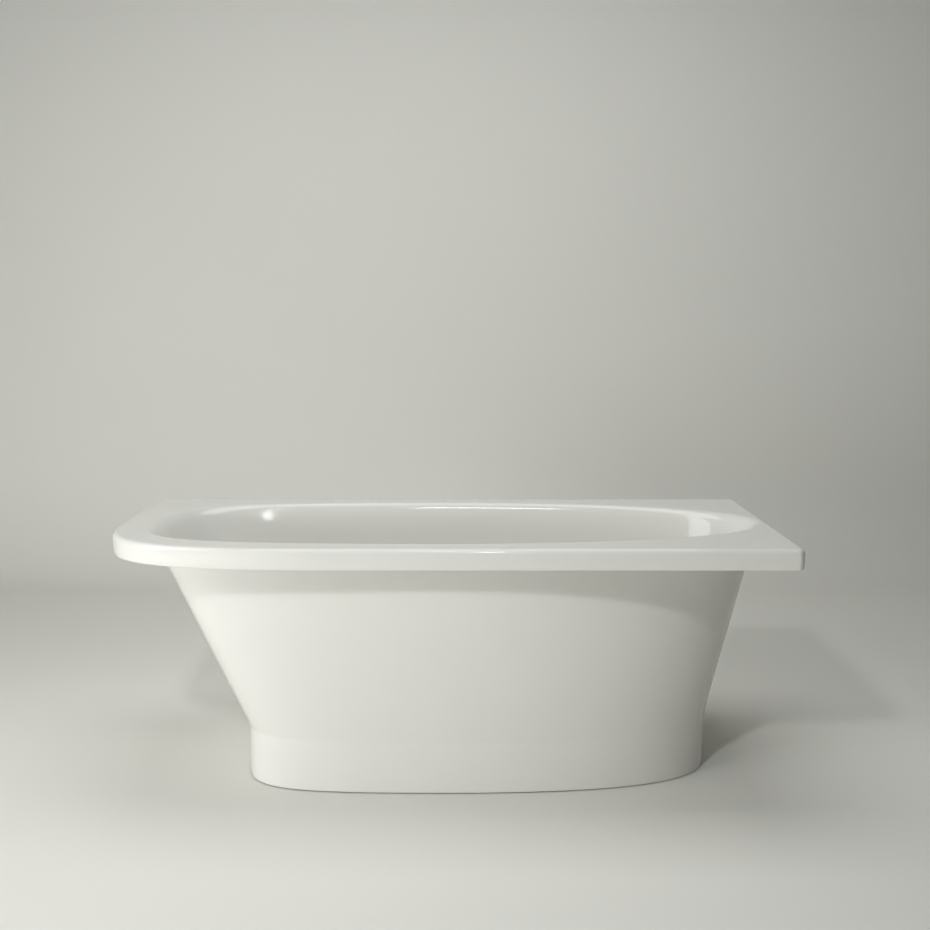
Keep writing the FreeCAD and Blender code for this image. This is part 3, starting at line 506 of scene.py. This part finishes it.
# A finish from one noise: it mixes two close colours, spreads the roughness and lifts a fine bump.
def grainedFinish(name, dark, light, grainSize, bumpDepth, roughness, settings, stretch=(1, 1, 1)):
    material, tree, shader = newMaterial(name, light, settings)
    place = addNode(tree, "ShaderNodeTexCoord")
    spread = addNode(tree, "ShaderNodeMapping", {"Scale": stretch}, {"Vector": place.outputs["Object"]})
    grain = addNode(tree, "ShaderNodeTexNoise", {"Scale": 1 / grainSize, "Detail": 3.0},
                    {"Vector": spread.outputs["Vector"]})
    tint = addNode(tree, "ShaderNodeMix", {"data_type": "RGBA", 6: linear(dark), 7: linear(light)},
                   {"Factor": grain.outputs["Fac"]})
    gloss = addNode(tree, "ShaderNodeMapRange", {"To Min": roughness[0], "To Max": roughness[1]},
                    {"Value": grain.outputs["Fac"]})
    bump = addNode(tree, "ShaderNodeBump", {"Strength": 0.4, "Distance": bumpDepth},
                   {"Height": grain.outputs["Fac"]})
    joinFinish(tree, shader, tint, bump, gloss)
    return material


def hotDipGalvanised():
    # Hot-dip zinc on steel: dull silver with flat crystal spangles of about 9 mm, each a little different.
    material, tree, shader = newMaterial("hotDipGalvanisedSteel", "#A9AEB1", {"Metallic": 1.0})
    place = addNode(tree, "ShaderNodeTexCoord")
    warp = addNode(tree, "ShaderNodeTexNoise", {"Scale": 1 / (14 * mm), "Detail": 2.0},
                   {"Vector": place.outputs["Object"]})
    bent = addNode(tree, "ShaderNodeVectorMath", {"operation": "MULTIPLY_ADD", 1: (3 * mm,) * 3},
                   {0: warp.outputs["Color"], 2: place.outputs["Object"]})
    spangle = addNode(tree, "ShaderNodeTexVoronoi", {"Scale": 1 / (9 * mm)},
                      {"Vector": bent.outputs["Vector"]})
    grey = addNode(tree, "ShaderNodeSeparateColor", {}, {"Color": spangle.outputs["Color"]})
    tint = addNode(tree, "ShaderNodeMix", {"data_type": "RGBA", 6: linear("#969B9F"), 7: linear("#BCC1C3")},
                   {"Factor": grey.outputs["Red"]})
    gloss = addNode(tree, "ShaderNodeMapRange", {"To Min": 0.32, "To Max": 0.52},
                    {"Value": grey.outputs["Green"]})
    bump = addNode(tree, "ShaderNodeBump", {"Strength": 0.25, "Distance": 0.15 * mm},
                   {"Height": spangle.outputs["Distance"]})
    joinFinish(tree, shader, tint, bump, gloss)
    return material


# Planed softwood: growth rings cut lengthways, about 5 mm apart, drawn out along the board.
def planedSoftwood(name, stretch):
    material, tree, shader = newMaterial(name, "#D9BC8C", {"Roughness": 0.55, "IOR": 1.45})
    place = addNode(tree, "ShaderNodeTexCoord")
    along = addNode(tree, "ShaderNodeMapping", {"Scale": stretch}, {"Vector": place.outputs["Object"]})
    drift = addNode(tree, "ShaderNodeTexNoise", {"Scale": 1 / (25 * mm), "Detail": 3.0},
                    {"Vector": along.outputs["Vector"]})
    rings = addNode(tree, "ShaderNodeMath", {"operation": "MULTIPLY", 1: 42.0}, {0: drift.outputs["Fac"]})
    wave = addNode(tree, "ShaderNodeMath", {"operation": "SINE"}, {0: rings.outputs["Value"]})
    fibre = addNode(tree, "ShaderNodeTexNoise", {"Scale": 1 / (1.2 * mm), "Detail": 2.0},
                    {"Vector": along.outputs["Vector"]})
    share = addNode(tree, "ShaderNodeMapRange", {"From Min": -1.0, "To Min": 0.1, "To Max": 0.8},
                    {"Value": wave.outputs["Value"]})
    tint = addNode(tree, "ShaderNodeMix", {"data_type": "RGBA", 6: linear("#E0C79C"), 7: linear("#C29A62")},
                   {"Factor": share.outputs["Result"]})
    bump = addNode(tree, "ShaderNodeBump", {"Strength": 0.3, "Distance": 0.2 * mm},
                   {"Height": fibre.outputs["Fac"]})
    joinFinish(tree, shader, tint, bump)
    return material


metal = {"Metallic": 1.0}
finishes = {
    # Hard bright plating over turned brass, with the faint haze that handling leaves.
    "chrome": grainedFinish("chromePlatedBrass", "#D3D6D9", "#DDE0E2", 12 * mm, 0.01 * mm, (0.05, 0.11),
                            metal),
    "galvanised_steel": hotDipGalvanised(),
    # Bright zinc plating with a clear, slightly blue passivation over drawn wire and stampings.
    "zinc_plated_steel": grainedFinish("zincPlatedSteel", "#B9C1C6", "#D2D5D2", 4 * mm, 0.03 * mm,
                                       (0.24, 0.36), metal),
    # Injection-moulded glass-filled nylon: nearly black with a fine spark-eroded grain.
    "black_nylon": grainedFinish("mouldedNylon", "#17181A", "#232427", 0.8 * mm, 0.06 * mm, (0.42, 0.56),
                                 {"IOR": 1.53}),
    # Moulded rubber: dull mid grey with a bloom.
    "grey_rubber": grainedFinish("mouldedRubber", "#4A4C4E", "#5C5E5F", 2.5 * mm, 0.08 * mm, (0.7, 0.88),
                                 {"IOR": 1.52}),
    # Injection-moulded polypropylene: milky white, waxy, with faint flow marks.
    "white_polypropylene": grainedFinish("mouldedPolypropylene", "#DCDDD8", "#E9EAE6", 20 * mm, 0.05 * mm,
                                         (0.3, 0.42), {"IOR": 1.49, "Subsurface Weight": 0.08,
                                                       "Subsurface Scale": 4 * mm}, (1, 1, 3)),
    # Turned brass left bare: fine rings from the lathe and a warm tarnish.
    "brass": grainedFinish("turnedBrass", "#B08D49", "#CDAA63", 1.5 * mm, 0.02 * mm, (0.2, 0.34), metal,
                           (1, 1, 6)),
    # Moulded acetal: ivory and slippery.
    "acetal": grainedFinish("mouldedAcetal", "#DAD6C9", "#E7E4D9", 5 * mm, 0.02 * mm, (0.22, 0.32),
                            {"IOR": 1.48}),
    # Extruded corrugated hose: flexible pale grey plastic.
    "hose_plastic": grainedFinish("extrudedHosePlastic", "#B4B7B8", "#C6C8C8", 6 * mm, 0.04 * mm,
                                  (0.34, 0.48), {"IOR": 1.5}),
    # Extruded sheath over a release cable.
    "cable_sheath": grainedFinish("extrudedCableSheath", "#1B1C1E", "#28292B", 1.5 * mm, 0.03 * mm,
                                  (0.36, 0.5), {"IOR": 1.5}),
    # Chipboard under a thin melamine coat: off-white with pinhead flecks.
    "coated_board": grainedFinish("melamineCoatedBoard", "#D3CDBE", "#E3DED2", 2 * mm, 0.05 * mm,
                                  (0.38, 0.52), {"IOR": 1.5}),
}
boardsAlongLength = planedSoftwood("planedSoftwoodLengthways", (0.05, 1, 1))
boardsAlongWidth = planedSoftwood("planedSoftwoodCrossways", (1, 0.05, 1))
nodeFinishes = {
    "rim_timber": ["rim_board_front", "rim_board_rear", "rim_board_head"],
    "galvanised_steel": ["frame_rail_front", "frame_rail_rear", "cross_bar_head", "cross_bar_middle",
                         "cross_bar_foot", "apron_clips", "plinth_brackets"],
    "zinc_plated_steel": ["clip_screws", "bracket_screws", "rail_screws", "foot_weld_nuts", "foot_lock_nuts"],
    "black_nylon": ["foot_base_%d" % (i + 1) for i in range(6)],
    "grey_rubber": ["bracket_pads", "waste_seal", "plug_seal", "overflow_seal"] +
                   ["foot_pad_%d" % (i + 1) for i in range(6)],
    "white_polypropylene": ["waste_body", "trap_bend", "outlet_pipe", "trap_nut", "outlet_nut",
                            "overflow_body"],
    "brass": ["lift_pin", "knob_spindle"],
    "acetal": ["cable_drum"],
    "coated_board": ["base_board"],
    "chrome": ["overflow_plate"],
}
for slotName, names in nodeFinishes.items():
    for nodeName in names:
        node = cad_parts[nodeName]
        timber = boardsAlongWidth if nodeName.endswith("head") else boardsAlongLength
        finish = finishes.get(slotName, timber)
        node.data.materials.clear()
        node.data.materials.append(finish)
print("finishes", len(bpy.data.materials))


# Waste flange and plug

wasteSizes = {
    "x": 425 * mm, "low": 197 * mm, "seat": 220.6 * mm, "top": 223.1 * mm, "bore": 22 * mm,
    "tube": 25.4 * mm, "rim": 36 * mm, "lipRound": 1.9 * mm, "boreDrop": 4.6 * mm,
    "dish": ((29 * mm, 0.2 * mm), (26.5 * mm, 0.6 * mm), (24 * mm, 1.5 * mm), (22.6 * mm, 2.8 * mm)),
    "plugLow": 223.4 * mm, "plugFoot": 24 * mm, "plugStep": 1.5 * mm, "plugRim": 31.5 * mm,
    "plugHigh": 7.5 * mm, "plugArch": 2.2 * mm, "plugRound": 1.6 * mm, "plugRows": 22, "steps": 128,
}


# The flange's section: tube, seat, a lip rolled over by a quarter circle, and a dish down to the bore.
def wasteFlange():
    w = wasteSizes
    edge = w["lipRound"]
    lip = [(w["rim"] - edge + edge * np.cos(a), w["top"] - edge + edge * np.sin(a)) for a in quarterTurn]
    dish = [(radius, w["top"] - drop) for radius, drop in (*w["dish"], (w["bore"], w["boreDrop"]))]
    profile = [(w["bore"], w["low"]), (w["tube"], w["low"]), (w["tube"], w["seat"]), (w["rim"], w["seat"])]
    return turnedPiece("waste_flange_turned", profile + lip + dish, finishes["chrome"], w["steps"],
                       Matrix.Translation((w["x"], 0, 0)), closed=True)


# The plug's face is a flat arch: height falls with the square of the radius, then rolls over at the edge.
def plugDome():
    w = wasteSizes
    low, step = w["plugLow"], w["plugLow"] + w["plugStep"]
    edge = w["plugRound"]
    inner = w["plugRim"] - edge
    r = np.linspace(0, 1, w["plugRows"])[::-1] * inner
    crown = low + w["plugHigh"] - w["plugArch"] * (r / w["plugRim"]) ** 2
    side = crown[0] - edge
    roll = [(inner + edge * np.cos(a), side + edge * np.sin(a)) for a in quarterTurn[:-1]]
    profile = [(0, low), (w["plugFoot"], low), (w["plugFoot"], step), (w["plugRim"], step)] + roll
    return turnedPiece("plug_domed", profile + list(zip(r, crown)), finishes["chrome"], w["steps"],
                       Matrix.Translation((w["x"], 0, 0)))


flange = wasteFlange()
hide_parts("waste_flange")
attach(flange, "bath")
plug = plugDome()
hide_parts("plug")
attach(plug, "plug")
print("waste")


# Overflow knob: a turned disc with a finger bar across it

knobSizes = {
    "radius": 34 * mm, "back": 9.6 * mm, "face": 23.55 * mm, "edge": 2.5 * mm, "steps": 160,
    "hollow": ((0.9, 0.25 * mm), (0.6, 0.7 * mm), (0, 0.9 * mm)),
    "barHalf": 27 * mm, "barWide": 3 * mm, "barLow": 21 * mm, "barHigh": 26 * mm, "barRoll": 1.6 * mm,
    "barCentre": 0.02,
}


# A bar with round ends: a straight slot outline carried up, its top edge rolled over by a quarter circle
# and its top drawn in to a small share of the outline.
def roundBar():
    k = knobSizes
    half, wide, low, high, roll = k["barHalf"], k["barWide"], k["barLow"], k["barHigh"], k["barRoll"]
    turn = np.linspace(-np.pi / 2, np.pi / 2, 13)
    outline = np.vstack([np.column_stack([half - wide + wide * np.cos(turn), wide * np.sin(turn)]),
                         np.column_stack([-half + wide - wide * np.cos(turn), -wide * np.sin(turn)])])
    middle = np.clip(outline[:, :1], -half + wide, half - wide) * [1, 0]
    rows = [(1.0, low), (1.0, high - roll)]
    rows += [(1 - roll / wide * (1 - np.cos(a)), high - roll + roll * np.sin(a)) for a in quarterTurn[1:]]
    rows.append((k["barCentre"], high))
    return np.array([np.column_stack([middle + (outline - middle) * share, np.full(len(outline), z)])
                     for share, z in rows])


# The disc rolls over by a quarter circle at both edges, and its face is a little hollow.
def controlKnob():
    k = knobSizes
    inner = k["radius"] - k["edge"]
    back = [(inner + k["edge"] * np.sin(a), k["back"] + k["edge"] * (1 - np.cos(a))) for a in quarterTurn]
    front = [(inner + k["edge"] * np.cos(a), k["face"] - k["edge"] * (1 - np.sin(a))) for a in quarterTurn]
    hollow = [(inner * share, k["face"] - drop) for share, drop in k["hollow"]]
    disc = turnedPiece("control_knob_turned", [(0, k["back"])] + back + front + hollow, finishes["chrome"],
                       k["steps"], overflowPlace)
    rings = roundBar()
    rows, cols = rings.shape[:2]
    faces = gridFaces(rows, cols) + endFaces(rows, cols)
    bar = makePiece("control_knob_bar", placed(rings, overflowPlace), faces, finishes["chrome"])
    return disc, bar


knob, knobBar = controlKnob()
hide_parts("control_knob")
for piece in (knob, knobBar):
    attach(piece, "knob")
print("knob")


# Overflow hose, a corrugated tube from the waste body up to the overflow, and the cable beside it

hoseSizes = {
    "points": [(0.4542, 0, 0.1835), (0.4700, 0, 0.1835), (0.6239, 0, 0.1835), (0.6815, 0, 0.3262),
               (0.7401, 0, 0.4710), (0.7561, 0, 0.5076)],
    "crest": 11 * mm, "valley": 9.9 * mm, "bore": 9.3 * mm, "pitch": 4.2 * mm, "cuff": 16 * mm,
    "cuffDrop": 0.3 * mm, "ribPower": 0.7, "ringsPerRib": 8, "boreSkip": 4, "steps": 36,
}
cableSizes = {
    "points": [(0.4542, 0.016, 0.1835), (0.4700, 0.016, 0.1835), (0.6239, 0.016, 0.1835),
               (0.6815, 0.016, 0.3262), (0.7401, 0.016, 0.4710), (0.7619, 0.016, 0.5209)],
    "radius": 2.5 * mm, "spacing": 4 * mm, "steps": 20,
}


# Points along a smooth curve pulled by the given control points, evenly spaced by length, and the length
# at each of them.
def alongCurve(points, spacing):
    data = bpy.data.curves.new("route", "CURVE")
    data.dimensions = "3D"
    data.resolution_u = 48
    spline = data.splines.new("NURBS")
    spline.points.add(len(points) - 1)
    for point, place in zip(spline.points, points):
        point.co = (*place, 1)
    spline.order_u = 3
    spline.use_endpoint_u = True
    route = bpy.data.objects.new("route", data)
    bpy.context.collection.objects.link(route)
    mesh = bpy.data.meshes.new_from_object(route)
    line = np.array([v.co for v in mesh.vertices])
    bpy.data.objects.remove(route)
    length = np.concatenate([[0], np.cumsum(np.linalg.norm(np.diff(line, axis=0), axis=1))])
    even = np.linspace(0, length[-1], int(length[-1] / spacing) + 1)
    return np.column_stack([np.interp(even, length, line[:, i]) for i in range(3)]), even


# Rings square to a line: each ring's points turn round the line at that ring's radius.
def ringsAlong(line, radius, steps):
    tangent = np.gradient(line, axis=0)
    tangent /= np.linalg.norm(tangent, axis=1)[:, None]
    side = np.array([0, 1.0, 0])
    up = np.cross(tangent, side)
    angle = np.linspace(0, 2 * np.pi, steps, endpoint=False)
    spread = np.cos(angle)[None, :, None] * side + np.sin(angle)[None, :, None] * up[:, None, :]
    return line[:, None, :] + spread * np.broadcast_to(radius, len(line))[:, None, None]


# The hose's radius rises and falls as a raised cosine of the length, to a power that widens the crests,
# and stays even within a cuff's length of both ends. The bore runs back inside it.
def overflowHose():
    h = hoseSizes
    line, length = alongCurve(h["points"], h["pitch"] / h["ringsPerRib"])
    ribs = (0.5 + 0.5 * np.cos(2 * np.pi * length / h["pitch"])) ** h["ribPower"]
    cuffs = np.minimum(length, length[-1] - length) < h["cuff"]
    radius = np.where(cuffs, h["crest"] - h["cuffDrop"], h["valley"] + (h["crest"] - h["valley"]) * ribs)
    outer = ringsAlong(line, radius, h["steps"])
    bore = ringsAlong(line, h["bore"], h["steps"])[::-h["boreSkip"]]
    rings = np.concatenate([outer, bore])
    rows, cols = rings.shape[:2]
    faces = gridFaces(rows, cols) + closingFaces(rows, cols)
    piece = makePiece("overflow_hose_ribbed", rings, faces, finishes["hose_plastic"], smoothAngle=60.0)
    mergeNear(piece, 0.0001 * mm)
    return piece


# The release cable is a plain tube along its own curve, closed at both ends.
def releaseCable():
    c = cableSizes
    line = alongCurve(c["points"], c["spacing"])[0]
    rings = ringsAlong(line, c["radius"], c["steps"])
    rows, cols = rings.shape[:2]
    faces = gridFaces(rows, cols) + endFaces(rows, cols, flip=True)
    piece = makePiece("release_cable_sheathed", rings, faces, finishes["cable_sheath"], smoothAngle=50.0)
    mergeNear(piece, 0.0001 * mm)
    return piece


cable = releaseCable()
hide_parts("release_cable")
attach(cable, "bath")
hose = overflowHose()
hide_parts("overflow_hose")
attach(hose, "bath")
print("hose", len(hose.data.polygons))


# Levelling studs: a rolled metric thread

studSizes = {"pitch": 1.75 * mm, "depth": 0.95 * mm, "chamfer": 1.2 * mm, "steps": 6, "round": 28,
             "root": 1.5, "flank": 2.5}


# Thread: phase is the height over the pitch less the turn, and the radius drops by the depth where it is
# halfway: root less flank times twice the distance from there, held between 0 and 1. The ends are chamfered.
def threadedStud(name, nodeName):
    t = studSizes
    low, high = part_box(nodeName)
    middle = (low + high) / 2
    full = (high.x - low.x) / 2
    z = np.arange(low.z, high.z, t["pitch"] / t["steps"])
    z = np.append(z, high.z)
    angle = np.linspace(0, 2 * np.pi, t["round"], endpoint=False)
    phase = ((z[:, None] - low.z) / t["pitch"] - angle / (2 * np.pi)) % 1
    radius = full - t["depth"] * np.clip(t["root"] - np.abs(phase * 2 - 1) * t["flank"], 0, 1)
    ends = np.minimum(z - low.z, high.z - z)[:, None]
    radius = np.minimum(radius, full - t["depth"] + ends * t["depth"] / t["chamfer"])
    points = np.stack([middle.x + radius * np.cos(angle), middle.y + radius * np.sin(angle),
                       np.repeat(z[:, None], len(angle), axis=1)], axis=-1)
    rows, cols = points.shape[:2]
    faces = gridFaces(rows, cols) + endFaces(rows, cols)
    return makePiece(name, points, faces, finishes["zinc_plated_steel"], smoothAngle=50.0)


for i in range(6):
    stud = threadedStud("foot_stud_threaded_%d" % (i + 1), "foot_stud_%d" % (i + 1))
    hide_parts("foot_stud_%d" % (i + 1))
    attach(stud, "foot_%d" % (i + 1))
print("studs", len(stud.data.polygons))


# Stage: floor running up into a backdrop, with lamps and cards round it

stageSizes = {"halfWide": 9.0, "near": -6.0, "wallAt": 2.45, "sweep": 0.5, "high": 5.0, "bendRows": 14}


# A flat floor, a quarter circle up and a flat wall, as wide strips.
def stageSurface():
    t = stageSizes
    angle = np.linspace(0, np.pi / 2, t["bendRows"])
    bend = np.stack([t["wallAt"] - t["sweep"] + t["sweep"] * np.sin(angle),
                     t["sweep"] * (1 - np.cos(angle))], axis=1)
    line = np.vstack([[(t["near"], 0)], bend, [(t["wallAt"], t["high"])]])
    left = np.column_stack([np.full(len(line), -t["halfWide"]), line])
    right = np.column_stack([np.full(len(line), t["halfWide"]), line])
    points = np.stack([left, right], axis=1)
    # Matt paint: an even off-white that clouds very slightly over most of a metre.
    material, tree, shader = newMaterial("mattPaintedFloor", "#EBEBE5", {"Roughness": 0.7, "IOR": 1.45})
    place = addNode(tree, "ShaderNodeTexCoord")
    cloud = addNode(tree, "ShaderNodeTexNoise", {"Scale": 1 / (700 * mm), "Detail": 2.0},
                    {"Vector": place.outputs["Object"]})
    tint = addNode(tree, "ShaderNodeMix", {"data_type": "RGBA", 6: linear("#ECECE6"), 7: linear("#E9E9E3")},
                   {"Factor": cloud.outputs["Fac"]})
    tree.links.new(tint.outputs[2], shader.inputs["Base Color"])
    floor = makePiece("floorAndBackdrop", points, gridFaces(len(line), 2, closed=False), material,
                      smoothAngle=60.0)


# A lamp only lights, a card is only seen mirrored in gloss and chrome, and one that is both does both.
def areaLight(name, kind, place, aim, wide, tall, power, shape="RECTANGLE"):
    lamp = bpy.data.lights.new(name, "AREA")
    lamp.shape = shape
    lamp.size, lamp.size_y, lamp.energy = wide, tall, power
    light = bpy.data.objects.new(name, lamp)
    light.location = place
    direction = Matrix.Translation(place).inverted() @ Matrix.Translation(aim)
    light.rotation_euler = direction.translation.to_track_quat("-Z", "Y").to_euler()
    light.visible_glossy = kind != "lamp"
    light.visible_diffuse = kind != "card"
    bpy.context.collection.objects.link(light)


cameraSettings = {"place": (0.0527, -3.0541, 1.1981), "down": 7.429, "lens": 45.321, "sensor": 36.0}


def makeCamera():
    c = cameraSettings
    data = bpy.data.cameras.new("photoCamera")
    data.lens, data.sensor_width, data.sensor_fit = c["lens"], c["sensor"], "HORIZONTAL"
    camera = bpy.data.objects.new("photoCamera", data)
    camera.location = c["place"]
    camera.rotation_euler = (math.radians(90 - c["down"]), 0, 0)
    bpy.context.collection.objects.link(camera)
    bpy.context.scene.camera = camera


stageSurface()
makeCamera()
# Each light: kind, place, point it faces, width, height, watts and, unless it is a rectangle, its shape.
lights = {
    "highLamp": ("lamp", (-0.8, -2.6, 2.65), (0.1, 0, 0.4), 0.25, 0.25, 27),
    "sideLamp": ("lamp", (-1.6, -1.6, 1.9), (0.2, 0, 0.4), 0.8, 0.8, 9),
    "lowPanel": ("lamp", (-2.6, -3.2, 0.65), (0, 0, 0.4), 1.4, 1.0, 37),
    "endPanel": ("lamp", (-3.4, -1.4, 0.65), (0, 0, 0.4), 1.4, 1.1, 30),
    "topPanel": ("both", (0, 0.2, 3.4), (0, 0, 0.3), 2.4, 1.6, 35),
    "windowCard": ("card", (-3.3, -1.4, 2.5), (0.2, 0, 0.5), 1.7, 5.6, 84, "ELLIPSE"),
    "stripCard": ("card", (0.17, -2.6, 2.85), (0, 0, 2.85), 0.2, 1.7, 11, "ELLIPSE"),
    "lipCard": ("card", (-0.09, -1.75, 3.3), (0.1, 0.28, 0.64), 0.12, 0.3, 2.8),
}
for name, settings in lights.items():
    areaLight(name, *settings)
worldSettings = {"Color": linear("#F4F4F0"), "Strength": 0.12}
world = bpy.data.worlds.new("studio")
world.use_nodes = True
for key, value in worldSettings.items():
    world.node_tree.nodes["Background"].inputs[key].default_value = value
bpy.context.scene.world = world
bpy.context.scene.view_settings.view_transform = "Standard"
print("stage")
